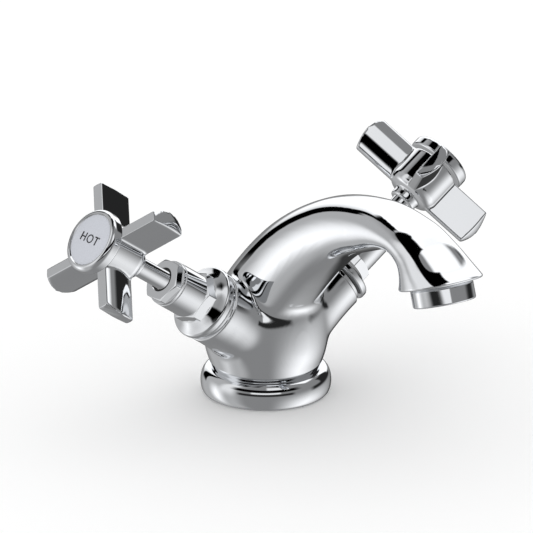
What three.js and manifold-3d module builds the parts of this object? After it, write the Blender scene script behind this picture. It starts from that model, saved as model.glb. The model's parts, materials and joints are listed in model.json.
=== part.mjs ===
// Two-handle basin mixer faucet: one cast body with a swan-neck spout, two
// quarter-turn ceramic disc valves in inclined arms, and a cross handle on each.
// Units are millimetres, +Z is up, the spout points along -Y, hot is at -X.
// The origin is the centre of the flat underside that stands on the basin deck.

import * as THREE from 'three';
import { mergeVertices } from 'three/addons/utils/BufferGeometryUtils.js';
import Module from 'manifold-3d';

const wasm = await Module();
wasm.setup();

// ---------------------------------------------------------------- driving sizes

const GAP = 0.3;                       // clearance left between pieces that touch

const BASE = { footRadius: 24.3, radius: 26, top: 10.6, neckRadius: 21.7 };
const TRUNK = { bellRadius: 24.8, bellLow: 22, bellHigh: 29, top: 43 };

// Each arm runs from the trunk centre; "along" sizes are measured on its axis.
const ARM = { originY: -3.3, originZ: 21.6, rise: THREE.MathUtils.degToRad(34.7) };
const ARM_END = 37;                    // end face of the arm, along its axis
const ARM_BORE = { radius: 8.6, floor: 14 };
const CROSS_PORT = { radius: 3.2, along: 25, y: -4, z: 42 };

// Spout stations: centre, direction of travel above the horizontal, half height
// across the tube in the symmetry plane, and half width along X.
const SPOUT = [
  { y: 7.5, z: 9, lean: 82, high: 13.5, wide: 17 },
  { y: 8.5, z: 26, lean: 52, high: 18, wide: 17.3 },
  { y: -18.4, z: 59, lean: 43, high: 16, wide: 16.4 },
  { y: -46, z: 79.8, lean: 28, high: 12.6, wide: 14.3 },
  { y: -71.7, z: 88.3, lean: 7.5, high: 9.7, wide: 13.1 },
  { y: -90.7, z: 89.4, lean: -21, high: 6.6, wide: 12.8 },
  { y: -101.4, z: 85.6, lean: -48, high: 7.2, wide: 13.3 },
  { y: -107.6, z: 80.3, lean: -65, high: 10.4, wide: 14.8 },
  { y: -111.4, z: 75.6, lean: -72, high: 15.6, wide: 15.8 },
];
const SPOUT_SQUARENESS = 2.4;          // superellipse exponent of the section
const SPOUT_WATERWAY = 4.2;

const MOUTH = { y: -111.4, z: 75.6, tilt: THREE.MathUtils.degToRad(18) };
const AERATOR = { radius: 12.1, height: 7, spigotRadius: 10.3, spigot: 3, bore: 9.6 };
const AERATOR_SOCKET = { radius: 10.6, depth: 3.6 };
const SCREEN = { low: -6.5, high: -4.9, holeRadius: 1.25, pitch: 3.4, rows: 2 };

const INLET = { x: 11.5, y: -3.3, radius: 4.5 };
const STUD = { y: 12.5, radius: 3.4, depth: 13 };
const SEAL_GROOVE = { inner: 20, outer: 23, depth: 2 };

// Valve sizes along the arm axis.
const FLANGE = { start: 38.2, edge: 41.2, end: 43, radius: 14.7 };
const HEX = { end: 48, acrossFlats: 18.5, domeRadius: 10.9 };
const BARREL = { end: 59.3, radius: 9.2, throat: 4.3, wall: 2.5 };
const SPIGOT = { start: 23, radius: 8.2, bore: 6.2 };
const GLAND = {
  start: 59.6, end: 64, radius: 9.1, acrossFlats: 17.4, faceRadius: 7.4, bore: 5.1,
};
const O_RING = { radius: 5.1, thick: 0.75, along: 50, sides: 6 };
const CIRCLIP = { inner: 4.15, outer: 4.8, below: 1.6, thick: 0.7 };
const STEM = {
  radius: 3.9, start: 22.4, end: 88.4, driveRadius: 5.4, driveEnd: 25, neckRadius: 3.3,
};
const DISC = { radius: 5.9, thick: 2.2 };
const SLEEVE = { start: 14.3, end: 22.4, radius: 8.2, bore: 6.3 };

const HANDLE = {
  bossStart: 78.8, bossRadius: 5.7, domeStart: 82.8, barrelStart: 85,
  barrelEnd: 99.3, radius: 10.7, bore: 8.9, web: 89, webTop: 91.2,
};
const BLADE = {
  count: 4, turn: -42, front: 99, rear: 83.2, root: 7, tip: 28.4,
  flat: 2.2, frontBack: 2.2, rearBack: 1.2, bulge: 1.9, crown: 2.4, crownStart: -0.5,
};
const CAP = { start: 99.6, rim: 104, face: 105, radius: 12.8, discRadius: 11.1 };
const SCREW = { headRadius: 4, headTop: 94.4, shankRadius: 1.8, end: 79 };

// ---------------------------------------------------------------- materials

function finish(color, roughness, metalness) {
  return new THREE.MeshStandardMaterial({ color, roughness, metalness });
}

const CHROME = finish(0xd9dcdf, 0.08, 1);
const SATIN = finish(0xd2d4da, 0.4, 0.6);
const BRASS = finish(0xb8954e, 0.35, 1);
const STEEL = finish(0xa9abad, 0.3, 1);
const RUBBER = finish(0x1b1b1c, 0.8, 0);
const CERAMIC = finish(0xe9e7e0, 0.25, 0);
const PLASTIC = finish(0xe4e4e0, 0.5, 0);

// ---------------------------------------------------------------- solids

function solid(geometry) {
  const bare = geometry.index ? geometry.clone() : geometry;
  bare.deleteAttribute('normal');
  bare.deleteAttribute('uv');
  const merged = mergeVertices(bare, 1e-4);
  return new wasm.Manifold(new wasm.Mesh({
    numProp: 3,
    vertProperties: new Float32Array(merged.attributes.position.array),
    triVerts: new Uint32Array(merged.index.array),
  }));
}

function geometryOf(manifold) {
  const mesh = manifold.getMesh();
  const geometry = new THREE.BufferGeometry();
  geometry.setAttribute('position', new THREE.BufferAttribute(mesh.vertProperties, 3));
  geometry.setIndex(new THREE.BufferAttribute(mesh.triVerts, 1));
  return geometry;
}

// A turned shape on the Z axis from [radius, height] pairs, closed on itself.
function turned(profile, segments = 28) {
  const points = [...profile].map(([radius, height]) => new THREE.Vector2(radius, height));
  if (profile[0][0] > 0) points.push(points[0].clone());
  const geometry = new THREE.LatheGeometry(points, segments);
  geometry.rotateX(Math.PI / 2);
  return outward(geometry);
}

// Turns the faces round when a closed surface is inside out.
function outward(geometry) {
  const flat = geometry.index ? geometry : mergeVertices(geometry);
  const at = flat.attributes.position;
  const index = flat.index.array;
  const a = new THREE.Vector3();
  const b = new THREE.Vector3();
  const c = new THREE.Vector3();
  let volume = 0;
  for (let i = 0; i < index.length; i += 3) {
    a.fromBufferAttribute(at, index[i]);
    b.fromBufferAttribute(at, index[i + 1]);
    c.fromBufferAttribute(at, index[i + 2]);
    volume += a.dot(b.cross(c));
  }
  if (volume < 0) {
    for (let i = 0; i < index.length; i += 3) {
      [index[i + 1], index[i + 2]] = [index[i + 2], index[i + 1]];
    }
  }
  return flat;
}

function rod(radius, start, end, segments = 24) {
  return turned([[0, start], [radius, start], [radius, end], [0, end]], segments);
}

function tube(inner, outer, start, end, segments = 24) {
  return turned([[inner, start], [outer, start], [outer, end], [inner, end]], segments);
}

function hexPrism(acrossFlats, start, end) {
  const geometry = new THREE.CylinderGeometry(
    acrossFlats / Math.sqrt(3), acrossFlats / Math.sqrt(3), end - start, 6);
  geometry.rotateX(Math.PI / 2);
  geometry.translate(0, 0, (start + end) / 2);
  return geometry;
}

// A closed skin over rings of equal point counts, with a fan on each end.
function skin(rings) {
  const count = rings[0].length;
  const points = rings.flat();
  const faces = [];
  for (let r = 0; r + 1 < rings.length; r += 1) {
    for (let i = 0; i < count; i += 1) {
      const j = (i + 1) % count;
      const near = r * count;
      const far = near + count;
      faces.push(near + i, near + j, far + j, near + i, far + j, far + i);
    }
  }
  const last = (rings.length - 1) * count;
  for (let i = 1; i + 1 < count; i += 1) {
    faces.push(0, i + 1, i, last, last + i, last + i + 1);
  }
  const geometry = new THREE.BufferGeometry().setFromPoints(points);
  geometry.setIndex(faces);
  return outward(geometry);
}

// The matrix that stands a shape made on Z on the axis of an arm.
function armMatrix(side) {
  const turn = side * (Math.PI / 2 - ARM.rise);
  return new THREE.Matrix4().makeRotationY(turn).setPosition(0, ARM.originY, ARM.originZ);
}

// The matrix that stands a shape made on Z in the mouth, with +Z up the nozzle.
function mouthMatrix() {
  return new THREE.Matrix4().makeRotationX(-MOUTH.tilt).setPosition(0, MOUTH.y, MOUTH.z);
}

// ---------------------------------------------------------------- spout

function spoutRings(steps, segments) {
  const centre = new THREE.CatmullRomCurve3(
    SPOUT.map((s) => new THREE.Vector3(0, s.y, s.z)), false, 'catmullrom', 0.5);
  const section = new THREE.CatmullRomCurve3(
    SPOUT.map((s) => new THREE.Vector3(s.lean, s.high, s.wide)), false, 'catmullrom', 0.5);
  const rings = [];
  for (let step = 0; step <= steps; step += 1) {
    const at = centre.getPoint(step / steps);
    const { x: lean, y: high, z: wide } = section.getPoint(step / steps);
    const angle = THREE.MathUtils.degToRad(lean);
    const ring = [];
    for (let i = 0; i < segments; i += 1) {
      const around = (2 * Math.PI * i) / segments;
      const across = rounded(Math.cos(around)) * wide;
      const up = rounded(Math.sin(around)) * high;
      ring.push(new THREE.Vector3(
        across, at.y + up * Math.sin(angle), at.z + up * Math.cos(angle)));
    }
    rings.push(ring);
  }
  return rings;
}

function rounded(value) {
  return Math.sign(value) * Math.abs(value) ** (2 / SPOUT_SQUARENESS);
}

function waterway() {
  const path = new THREE.CatmullRomCurve3(
    SPOUT.slice(1).map((s) => new THREE.Vector3(0, s.y, s.z)), false, 'catmullrom', 0.5);
  const circle = new THREE.Shape();
  circle.absarc(0, 0, SPOUT_WATERWAY, 0, 2 * Math.PI);
  const geometry = new THREE.ExtrudeGeometry(
    circle, { extrudePath: path, steps: 22, curveSegments: 4 });
  return outward(mergeVertices(stripped(geometry), 1e-4));
}

function stripped(geometry) {
  geometry.deleteAttribute('normal');
  geometry.deleteAttribute('uv');
  return geometry;
}

// ---------------------------------------------------------------- body casting

function trunk() {
  const { footRadius, radius, neckRadius } = BASE;
  const { bellRadius, bellLow, bellHigh, top } = TRUNK;
  return turned([
    [0, 0], [footRadius, 0], [radius - 0.5, 1.4], [radius, 3.6], [radius, 5.6],
    [radius - 1.1, 8.2], [radius - 2.4, 9.8], [neckRadius + 0.6, BASE.top],
    [neckRadius, BASE.top + 0.4], [neckRadius + 1.1, 14], [neckRadius + 2.4, 18],
    [bellRadius, bellLow], [bellRadius, bellHigh], [bellRadius - 0.7, top - 7],
    [bellRadius - 1.8, top - 4], [bellRadius - 3.8, top - 1.8],
    [bellRadius - 7, top - 0.6], [0, top],
  ], 40);
}

function arm() {
  return turned([
    [0, 0], [17, 0], [16.6, 8], [15.9, 14], [15.2, 20], [14.6, 26],
    [14.4, ARM_END - 1.2], [13.6, ARM_END - 0.8], [13.6, ARM_END], [0, ARM_END],
  ], 28);
}

function bodyCasting() {
  const sides = [-1, 1];
  let body = solid(trunk()).add(solid(skin(spoutRings(26, 24))));
  for (const side of sides) body = body.add(solid(arm().applyMatrix4(armMatrix(side))));
  for (const side of sides) {
    const bore = rod(ARM_BORE.radius, ARM_BORE.floor, ARM_END + 5, 28);
    body = body.subtract(solid(bore.applyMatrix4(armMatrix(side))));
    const inlet = rod(INLET.radius, -5, 27, 20).translate(side * INLET.x, INLET.y, 0);
    body = body.subtract(solid(inlet));
    body = body.subtract(solid(crossPort(side)));
  }
  body = body.subtract(solid(waterway()));
  body = body.subtract(solid(rod(STUD.radius, -5, STUD.depth, 16).translate(0, STUD.y, 0)));
  const { inner, outer, depth } = SEAL_GROOVE;
  body = body.subtract(solid(tube(inner, outer, -5, depth, 40)));
  const socket = rod(AERATOR_SOCKET.radius, -8, AERATOR_SOCKET.depth, 32);
  return body.subtract(solid(socket.applyMatrix4(mouthMatrix())));
}

// The drilled port from the side of a valve bore up into the spout's waterway.
function crossPort(side) {
  const from = new THREE.Vector3(0, 0, CROSS_PORT.along).applyMatrix4(armMatrix(side));
  const to = new THREE.Vector3(0, CROSS_PORT.y, CROSS_PORT.z);
  const length = from.distanceTo(to);
  const turn = new THREE.Quaternion().setFromUnitVectors(
    new THREE.Vector3(0, 0, 1), to.clone().sub(from).normalize());
  const port = rod(CROSS_PORT.radius, 0, length, 12).applyQuaternion(turn);
  return port.translate(from.x, from.y, from.z);
}

function baseSeal() {
  const { inner, outer, depth } = SEAL_GROOVE;
  return tube(inner + GAP, outer - GAP, 0, depth - GAP, 40);
}

// ---------------------------------------------------------------- aerator

function aeratorHousing() {
  const { radius, height, spigotRadius, spigot, bore } = AERATOR;
  return turned([
    [bore, -height - GAP], [radius - 0.6, -height - GAP], [radius, -height + 0.3],
    [radius, -GAP], [spigotRadius, -GAP], [spigotRadius, spigot],
    [bore - 1, spigot], [bore - 1, spigot - 1.4], [bore, spigot - 1.4],
  ], 32);
}

function aeratorCartridge() {
  const top = AERATOR.spigot - 1.4 - GAP;
  const outer = AERATOR.bore - GAP;
  return turned([
    [4, -4.6], [outer, -4.6], [outer, top], [5.4, top], [5.4, -2.4], [4, -2.4],
  ], 24);
}

function aeratorScreen() {
  const radius = AERATOR.bore - GAP;
  const { low, high, holeRadius, pitch, rows } = SCREEN;
  let screen = solid(rod(radius, low, high, 24));
  for (let row = -rows; row <= rows; row += 1) {
    const count = 2 * rows + 1 - Math.abs(row);
    for (let i = 0; i < count; i += 1) {
      const x = (i - (count - 1) / 2) * pitch;
      const y = row * pitch * Math.sin(Math.PI / 3);
      const hole = rod(holeRadius, low - 1, high + 1, 6).translate(x, y, 0);
      screen = screen.subtract(solid(hole));
    }
  }
  return screen;
}

function aeratorWasher() {
  return tube(6, 8.2, AERATOR.spigot - 1.2, AERATOR.spigot + 0.2);
}

// ---------------------------------------------------------------- valve

function bonnet() {
  const { radius } = FLANGE;
  const shell = solid(turned([
    [SPIGOT.bore, SPIGOT.start], [SPIGOT.radius, SPIGOT.start],
    [SPIGOT.radius, FLANGE.start], [radius - 0.9, FLANGE.start],
    [radius, FLANGE.start + 0.9], [radius, FLANGE.edge - 0.7],
    [radius - 0.8, FLANGE.edge + 0.3], [HEX.domeRadius + 1, FLANGE.end - 0.5],
    [HEX.domeRadius - 1, FLANGE.end + 0.2], [BARREL.radius, FLANGE.end + 0.4],
    [BARREL.radius, BARREL.end], [BARREL.throat, BARREL.end],
    [BARREL.throat, BARREL.end - BARREL.wall], [SPIGOT.bore, BARREL.end - BARREL.wall],
  ]));
  const hex = solid(hexPrism(HEX.acrossFlats, FLANGE.end - 1, HEX.end));
  const envelope = solid(turned([
    [0, FLANGE.end - 1], [HEX.domeRadius, FLANGE.end - 1], [HEX.domeRadius, HEX.end - 0.7],
    [HEX.domeRadius - 0.9, HEX.end], [0, HEX.end],
  ]));
  const bore = solid(rod(SPIGOT.bore, SPIGOT.start - 1, BARREL.end - BARREL.wall, 28));
  return shell.add(hex.intersect(envelope).subtract(bore));
}

function bonnetSeal() {
  return tube(9.2, 12.9, ARM_END + GAP, FLANGE.start - GAP);
}

function glandNut() {
  const { start, end, radius, acrossFlats, faceRadius, bore } = GLAND;
  const ring = solid(turned([
    [BARREL.throat, start], [radius, start], [radius, end - 2.2], [faceRadius, end],
    [bore, end], [bore, end - 2], [BARREL.throat, end - 2],
  ]));
  const flats = solid(hexPrism(acrossFlats, start, end));
  return ring.intersect(flats);
}

function stemCirclip() {
  const { inner, outer, below, thick } = CIRCLIP;
  return tube(inner, outer, GLAND.end - below, GLAND.end - below + thick, 16);
}

function stemORing() {
  const { radius, thick, along, sides } = O_RING;
  const profile = [];
  for (let i = 0; i < sides; i += 1) {
    const around = (2 * Math.PI * i) / sides;
    profile.push([radius + thick * Math.cos(around), along + thick * Math.sin(around)]);
  }
  return turned(profile, 16);
}

function spindle() {
  const { radius, start, end, driveRadius, driveEnd, neckRadius } = STEM;
  const shaft = solid(turned([
    [0, start], [driveRadius, start], [driveRadius, driveEnd], [radius, driveEnd + 1],
    [radius, HANDLE.bossStart + 1], [neckRadius, HANDLE.bossStart + 1.4],
    [neckRadius, end], [0, end],
  ], 20));
  const key = solid(new THREE.BoxGeometry(2.4, 7, 1.4).translate(0, 0, start - 0.6));
  const screwHole = solid(rod(SCREW.shankRadius + GAP, SCREW.end - 1, end + 1, 12));
  return shaft.add(key).subtract(screwHole);
}

function movingDisc() {
  const top = STEM.start - GAP;
  const disc = solid(rod(DISC.radius, top - DISC.thick, top, 28));
  const slot = solid(new THREE.BoxGeometry(3, 7.6, 3.4).translate(0, 0, top));
  return disc.subtract(slot).subtract(solid(discPort(top - DISC.thick - 1, top + 1)));
}

function fixedDisc() {
  const top = STEM.start - GAP - DISC.thick - GAP;
  const disc = solid(rod(DISC.radius, top - DISC.thick, top, 28));
  return disc.subtract(solid(discPort(top - DISC.thick - 1, top + 1)));
}

// The quarter-round water port that both ceramic discs share.
function discPort(start, end) {
  const sector = new THREE.Shape();
  sector.moveTo(2.4, 0.9);
  sector.absarc(0.6, 0.6, 4.3, 0.15, 1.42);
  sector.lineTo(0.9, 2.4);
  const port = new THREE.ExtrudeGeometry(
    sector, { depth: end - start, bevelEnabled: false, curveSegments: 6 });
  port.translate(0, 0, start);
  return outward(mergeVertices(stripped(port), 1e-4));
}

function valveSleeve() {
  const { start, end, radius, bore } = SLEEVE;
  const floor = start + 2.6;
  const wall = solid(turned([
    [4, start], [6.9, start], [radius, start + 1], [radius, end], [bore, end],
    [bore, floor], [4, floor],
  ], 24));
  const window = solid(new THREE.BoxGeometry(4, 30, 2.4).translate(0, 0, end - 2));
  return wall.subtract(window);
}

function seatSeal() {
  return tube(2.6, 3.7, SLEEVE.start, SLEEVE.start + 2.4, 16);
}

// ---------------------------------------------------------------- handle

// One paddle blade, standing out along +X from the Z axis. One side is flat and
// the other is crowned across the width; the crowned side's end is an arc.
function blade() {
  const steps = 8;
  const rings = [];
  for (let i = 0; i <= steps; i += 1) {
    const t = i / steps;
    const arch = 4 * t * (1 - t);
    const along = THREE.MathUtils.lerp(BLADE.front, BLADE.rear, t);
    const back = THREE.MathUtils.lerp(BLADE.frontBack, BLADE.rearBack, t);
    const crowned = back + BLADE.bulge * arch;
    const flatTip = BLADE.tip - 0.4 * (1 - arch);
    const crownTip = BLADE.tip + BLADE.crownStart + BLADE.crown * arch;
    rings.push([
      new THREE.Vector3(BLADE.root, -BLADE.flat, along),
      new THREE.Vector3(flatTip, -BLADE.flat, along),
      new THREE.Vector3(crownTip, crowned, along),
      new THREE.Vector3(BLADE.root, crowned, along),
    ]);
  }
  return skin(rings);
}

function handle(side) {
  const {
    bossStart, bossRadius, domeStart, barrelStart, barrelEnd, radius, bore, web, webTop,
  } = HANDLE;
  let grip = solid(turned([
    [0, bossStart], [bossRadius, bossStart], [bossRadius, domeStart],
    [8.4, domeStart + 0.1], [10, domeStart + 1.2], [radius, barrelStart],
    [radius, barrelEnd], [0, barrelEnd],
  ], 32));
  for (let i = 0; i < BLADE.count; i += 1) {
    const angle = THREE.MathUtils.degToRad(BLADE.turn) + (2 * Math.PI * i) / BLADE.count;
    // The up direction across an arm is +X at the hot side and -X at the cold side.
    const paddle = blade().rotateZ(side < 0 ? -angle : Math.PI + angle);
    grip = grip.add(solid(paddle));
  }
  const cavity = solid(rod(bore, webTop, barrelEnd + 5, 24));
  const socket = solid(rod(4.1, bossStart - 5, bossStart + 3, 20));
  const drive = solid(rod(3.6, bossStart, web, 20));
  const screwHole = solid(rod(SCREW.shankRadius + GAP, web - 1, webTop + 1, 16));
  return grip.subtract(cavity).subtract(socket).subtract(drive).subtract(screwHole);
}

function handleScrew() {
  const { headRadius, headTop, shankRadius, end } = SCREW;
  const under = HANDLE.webTop + GAP;
  const screw = solid(turned([
    [0, end], [shankRadius, end], [shankRadius, under], [headRadius, under],
    [headRadius, headTop - 0.8], [headRadius - 0.9, headTop], [0, headTop],
  ], 20));
  const slot = [0, Math.PI / 2].map((turn) => solid(
    new THREE.BoxGeometry(4.6, 1, 2.4).rotateZ(turn).translate(0, 0, headTop)));
  return screw.subtract(slot[0]).subtract(slot[1]);
}

// The cap's chromed ring, whose skirt presses into the mouth of the handle.
function capRing() {
  const { start, rim, face, radius, discRadius } = CAP;
  return turned([
    [7.4, start - 2.6], [HANDLE.bore - GAP, start - 2.6], [HANDLE.bore - GAP, start],
    [radius - 1.2, start], [radius - 0.5, start + 0.5], [radius, start + 1.2],
    [radius, rim - 0.6], [radius - 0.5, rim + 0.3], [discRadius + 0.6, face - 0.4],
    [discRadius + GAP, face - 0.6], [discRadius + GAP, start + 3.4], [7.4, start + 3.4],
  ], 32);
}

function capDisc() {
  const { start, face, discRadius } = CAP;
  return turned([
    [0, start + 3.7], [discRadius, start + 3.7], [discRadius, face - 0.7],
    [discRadius - 0.5, face - 0.3], [discRadius * 0.5, face - 0.1], [0, face],
  ], 32);
}

// ---------------------------------------------------------------- assembly

const mixer = new THREE.Group();

function place(parent, name, shape, material) {
  const geometry = shape.isBufferGeometry ? shape : geometryOf(shape);
  const mesh = new THREE.Mesh(geometry, material);
  mesh.name = name;
  parent.add(mesh);
}

function placeMatrix(group, matrix) {
  matrix.decompose(group.position, group.quaternion, group.scale);
  mixer.add(group);
  return group;
}

place(mixer, 'body_casting', bodyCasting(), CHROME);
place(mixer, 'base_seal', baseSeal(), RUBBER);

const nozzle = placeMatrix(new THREE.Group(), mouthMatrix());
place(nozzle, 'aerator_housing', aeratorHousing(), CHROME);
place(nozzle, 'aerator_cartridge', aeratorCartridge(), PLASTIC);
place(nozzle, 'aerator_screen', aeratorScreen(), PLASTIC);
place(nozzle, 'aerator_washer', aeratorWasher(), RUBBER);

for (const [label, side] of [['hot', -1], ['cold', 1]]) {
  const valve = placeMatrix(new THREE.Group(), armMatrix(side));
  place(valve, `${label}_bonnet`, bonnet(), CHROME);
  place(valve, `${label}_bonnet_seal`, bonnetSeal(), RUBBER);
  place(valve, `${label}_gland_nut`, glandNut(), CHROME);
  place(valve, `${label}_valve_sleeve`, valveSleeve(), BRASS);
  place(valve, `${label}_seat_seal`, seatSeal(), RUBBER);
  place(valve, `${label}_fixed_disc`, fixedDisc(), CERAMIC);
  place(valve, `${label}_moving_disc`, movingDisc(), CERAMIC);
  place(valve, `${label}_spindle`, spindle(), CHROME);
  place(valve, `${label}_stem_o_ring`, stemORing(), RUBBER);
  place(valve, `${label}_stem_circlip`, stemCirclip(), STEEL);
  place(valve, `${label}_handle`, handle(side), CHROME);
  place(valve, `${label}_handle_screw`, handleScrew(), STEEL);
  place(valve, `${label}_cap_ring`, capRing(), CHROME);
  place(valve, `${label}_cap_disc`, capDisc(), SATIN);
}

export default mixer;
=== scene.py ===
"""Looks of a chromed basin mixer: cast body, hexagon bonnets, cross handles, caps and nozzle."""

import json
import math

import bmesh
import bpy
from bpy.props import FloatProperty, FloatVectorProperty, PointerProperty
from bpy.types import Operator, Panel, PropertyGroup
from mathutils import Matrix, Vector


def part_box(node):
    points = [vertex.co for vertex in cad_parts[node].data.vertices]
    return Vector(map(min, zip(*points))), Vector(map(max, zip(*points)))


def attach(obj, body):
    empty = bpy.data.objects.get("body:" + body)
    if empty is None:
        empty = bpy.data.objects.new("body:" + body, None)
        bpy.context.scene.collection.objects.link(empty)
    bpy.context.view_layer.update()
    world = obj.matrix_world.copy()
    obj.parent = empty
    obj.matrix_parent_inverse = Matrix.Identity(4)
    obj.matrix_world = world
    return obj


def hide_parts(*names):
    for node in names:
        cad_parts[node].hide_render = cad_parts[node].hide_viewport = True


bl_info = {
    "name": "Chromed Basin Mixer",
    "version": (1, 0, 0),
    "blender": (4, 5, 0),
    "location": "View3D > Sidebar > Mixer",
    "description": "Builds the visible pieces and finishes of a basin mixer round its packed frame",
    "category": "Object",
}

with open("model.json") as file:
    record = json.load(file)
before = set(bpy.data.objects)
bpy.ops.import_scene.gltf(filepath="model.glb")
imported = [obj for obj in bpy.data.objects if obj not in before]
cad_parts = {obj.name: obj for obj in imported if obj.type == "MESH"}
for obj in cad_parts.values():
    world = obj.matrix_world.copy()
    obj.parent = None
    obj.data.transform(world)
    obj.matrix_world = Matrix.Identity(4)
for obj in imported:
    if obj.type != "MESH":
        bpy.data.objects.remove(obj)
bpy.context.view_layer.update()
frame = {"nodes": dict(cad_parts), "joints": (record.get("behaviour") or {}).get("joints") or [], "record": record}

MM = 0.001
FIXED = "fixed_body"
SIDES = ("hot", "cold")
JOINTS = {joint["name"]: joint for joint in frame["joints"]}
TURN_STEPS = 128                       # facets round a turned piece
SHARP_ANGLE = math.radians(22)         # turned edges sharper than this are rounded
CREASE_ANGLE = math.radians(40)        # edges sharper than this stay crisp in the shading
SAME_POINT = 1e-7                      # points closer than this are merged

DECK_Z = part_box("body_casting")[0].z
SEAL_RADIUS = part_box("base_seal")[1].x

# Spout stations, in millimetres and degrees: (y, z) of the centre, the direction of
# travel above the horizontal, half height across the tube, and half width along X.
SPOUT = (
    (7.5, 9.0, 82.0, 13.5, 17.0),
    (8.5, 26.0, 52.0, 18.0, 17.3),
    (-18.4, 59.0, 43.0, 16.0, 16.4),
    (-46.0, 79.8, 28.0, 12.6, 14.3),
    (-71.7, 88.3, 7.5, 9.7, 13.1),
    (-90.7, 89.4, -21.0, 6.6, 12.8),
    (-101.4, 85.6, -48.0, 7.2, 13.3),
    (-107.6, 80.3, -65.0, 10.4, 14.8),
    (-111.4, 75.6, -72.0, 15.6, 15.8),
)
SPOUT_SQUARENESS = 2.4                 # superellipse exponent of the tube's section
SPOUT_SIDES = 96
STEPS_PER_SPAN = 14

MOUTH_CENTRE = Vector((0.0, SPOUT[-1][0] * MM, SPOUT[-1][1] * MM))
MOUTH_TILT = math.radians(18.0)
MOUTH_DOWN = Vector((0.0, -math.sin(MOUTH_TILT), -math.cos(MOUTH_TILT)))
MOUTH_RIM = 0.8 * MM
ARM_RIM = 0.5 * MM
ARM_FROM = 18 * MM                     # only the arms lie farther out sideways than this
MOUTH_FROM = -90 * MM                  # only the spout's end lies farther forward than this

# Valve sizes in millimetres that aren't settings.
ARM_BORE = 8.6
BARREL_RADIUS = 9.2
BARREL_WALL = 2.0
HEXAGON_END = 48.0
GLAND_THROAT = 4.3
GLAND_MOUTH = 5.1
CLEARANCE = 0.3                        # gap between pieces that face each other

# Handle sizes in millimetres along and across a valve's axis.
HUB_START = 78.9
HUB_END = 99.2
HUB_RADIUS = 10.7
BLADE_COUNT = 4
BLADE_TURN = math.radians(-42.0)       # of the first blade from the upper side of the arm
BLADE_FRONT = 99.0
BLADE_REAR = 83.2
BLADE_FLAT = -2.2                      # the flat side's distance from the middle of the blade


# ---------------------------------------------------------------- sizes and colours


def linear(hex_colour):
    """The linear RGBA of an sRGB hex colour."""
    shares = [int(hex_colour[at:at + 2], 16) / 255 for at in (0, 2, 4)]
    rgb = [s / 12.92 if s <= 0.04045 else ((s + 0.055) / 1.055) ** 2.4 for s in shares]
    return (*rgb, 1.0)


def length(name, description, millimetres):
    return FloatProperty(
        name=name, description=description, default=millimetres * MM,
        min=0.0, precision=5, unit="LENGTH", subtype="DISTANCE")


def colour(name, description, hex_colour):
    return FloatVectorProperty(
        name=name, description=description, default=linear(hex_colour)[:3],
        min=0.0, max=1.0, size=3, subtype="COLOR")


class MixerSizes(PropertyGroup):
    base_radius: length("Base Radius", "Radius of the round base's bulge", 26.0)
    base_height: length("Base Height", "Height of the bulge of the base", 10.6)
    neck_radius: length("Neck Radius", "Radius of the trunk above the base", 21.7)
    trunk_height: length("Trunk Height", "Top of the trunk inside the spout", 43.0)
    casting_grain: length("Casting Grain", "Mesh size of the cast body", 0.6)
    handle_grain: length("Handle Grain", "Mesh size of the handles", 0.36)
    arm_radius: length("Arm Radius", "Radius of an arm at its end", 14.4)
    arm_end: length("Arm End", "Distance from the trunk's centre to an arm's end", 35.8)
    flange_radius: length("Flange Radius", "Radius of a bonnet's flange", 14.7)
    hexagon_flats: length("Hexagon", "Size across the flats of a bonnet", 18.5)
    gland_flats: length("Gland Nut Flats", "Size of a gland nut across its flats", 15.9)
    stem_radius: length("Stem Radius", "Radius of a handle's stem", 3.9)
    blade_reach: length("Blade Reach", "Distance from a handle's axis to its blades' ends", 28.4)
    cap_radius: length("Cap Radius", "Radius of a handle's cap", 12.8)
    disc_radius: length("Index Disc Radius", "Radius of the lettered disc in a cap", 10.4)
    letter_height: length("Letter Height", "Height of the capitals on an index disc", 3.5)
    nozzle_radius: length("Nozzle Radius", "Radius of the aerator's ring", 12.1)


class MixerFinishes(PropertyGroup):
    chrome: colour("Chrome", "Reflected tint of the chrome plate", "EEF0F3")
    index: colour("Index Disc", "Colour of the satin index discs", "D5D8E0")
    ink: colour("Lettering", "Colour of the printed words", "1A1A1C")
    rubber: colour("Rubber", "Colour of the seals", "1B1B1C")
    floor: colour("Floor", "Colour of the studio floor", "FAFAFA")


# ---------------------------------------------------------------- materials


def add_node(tree, kind, settings=None, values=None, links=None):
    """A new node with its settings, its input values and its input links."""
    node = tree.nodes.new(kind)
    for key, value in (settings or {}).items():
        setattr(node, key, value)
    for key, value in (values or {}).items():
        node.inputs[key].default_value = value
    for key, source in (links or {}).items():
        tree.links.new(source, node.inputs[key])
    return node


def surface(name, values):
    """A new material, its node tree, its shader and its object coordinates."""
    material = bpy.data.materials.new(name)
    material.use_nodes = True
    tree = material.node_tree
    shader = tree.nodes["Principled BSDF"]
    for key, value in values.items():
        shader.inputs[key].default_value = value
    place = add_node(tree, "ShaderNodeTexCoord").outputs["Object"]
    return material, tree, shader, place


def vary(tree, place, size, low, high):
    """A soft noise of one size in metres, spread from low to high."""
    noise = add_node(
        tree, "ShaderNodeTexNoise",
        values={"Scale": 1 / size, "Detail": 2.0}, links={"Vector": place})
    return add_node(
        tree, "ShaderNodeMapRange",
        values={"From Min": 0.3, "From Max": 0.7, "To Min": low, "To Max": high},
        links={"Value": noise.outputs["Fac"]}).outputs["Result"]


def relief(tree, shader, height, strength, depth):
    bump = add_node(
        tree, "ShaderNodeBump", values={"Strength": strength, "Distance": depth},
        links={"Height": height})
    tree.links.new(bump.outputs["Normal"], shader.inputs["Normal"])


def tint(tree, shader, share, first, second):
    mixed = add_node(
        tree, "ShaderNodeMix", settings={"data_type": "RGBA"},
        values={"A": first, "B": second}, links={"Factor": share})
    tree.links.new(mixed.outputs["Result"], shader.inputs["Base Color"])


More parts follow.
